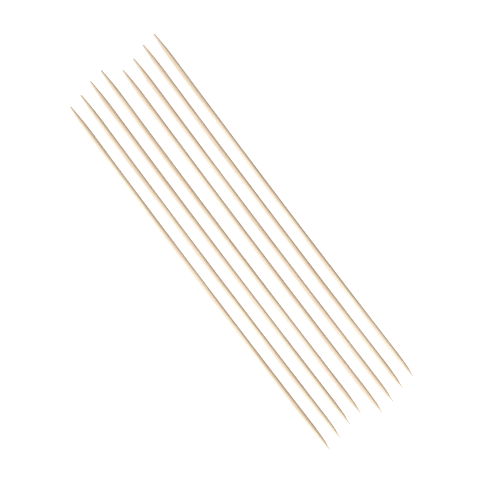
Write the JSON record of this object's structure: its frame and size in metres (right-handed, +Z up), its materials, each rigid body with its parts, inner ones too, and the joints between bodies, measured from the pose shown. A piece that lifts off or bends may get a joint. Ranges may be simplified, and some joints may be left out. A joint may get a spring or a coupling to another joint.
{
  "type": "double pointed knitting needles",
  "caption": "Slim round wooden rods with a point at each end, lying loose side by side; used as a set to knit tubes in the round.",
  "frame": {"origin": "on the surface that the needles lie on, under the middle of the set", "axes": "+X along the needles towards their keen points, +Y across the set from needle_1 to needle_8, +Z up"},
  "size_m": [0.206, 0.0542, 0.0025],
  "materials": {
    "pale_wood": "fine straight grain, sanded smooth and lightly waxed, nearly matte"
  },
  "bodies": {
    "needle_1": {"needle_1": "pale_wood"},
    "needle_2": {"needle_2": "pale_wood"},
    "needle_3": {"needle_3": "pale_wood"},
    "needle_4": {"needle_4": "pale_wood"},
    "needle_5": {"needle_5": "pale_wood"},
    "needle_6": {"needle_6": "pale_wood"},
    "needle_7": {"needle_7": "pale_wood"},
    "needle_8": {"needle_8": "pale_wood"}
  },
  "joints": [
    {"name": "needle_1_lift", "type": "slide", "parent": "needle_4", "child": "needle_1", "axis": [0, 0, 1], "range_m": [0, 0.1]},
    {"name": "needle_2_lift", "type": "slide", "parent": "needle_4", "child": "needle_2", "axis": [0, 0, 1], "range_m": [0, 0.1]},
    {"name": "needle_3_lift", "type": "slide", "parent": "needle_4", "child": "needle_3", "axis": [0, 0, 1], "range_m": [0, 0.1]},
    {"name": "needle_5_lift", "type": "slide", "parent": "needle_4", "child": "needle_5", "axis": [0, 0, 1], "range_m": [0, 0.1]},
    {"name": "needle_6_lift", "type": "slide", "parent": "needle_4", "child": "needle_6", "axis": [0, 0, 1], "range_m": [0, 0.1]},
    {"name": "needle_7_lift", "type": "slide", "parent": "needle_4", "child": "needle_7", "axis": [0, 0, 1], "range_m": [0, 0.1]},
    {"name": "needle_8_lift", "type": "slide", "parent": "needle_4", "child": "needle_8", "axis": [0, 0, 1], "range_m": [0, 0.1]}
  ]
}
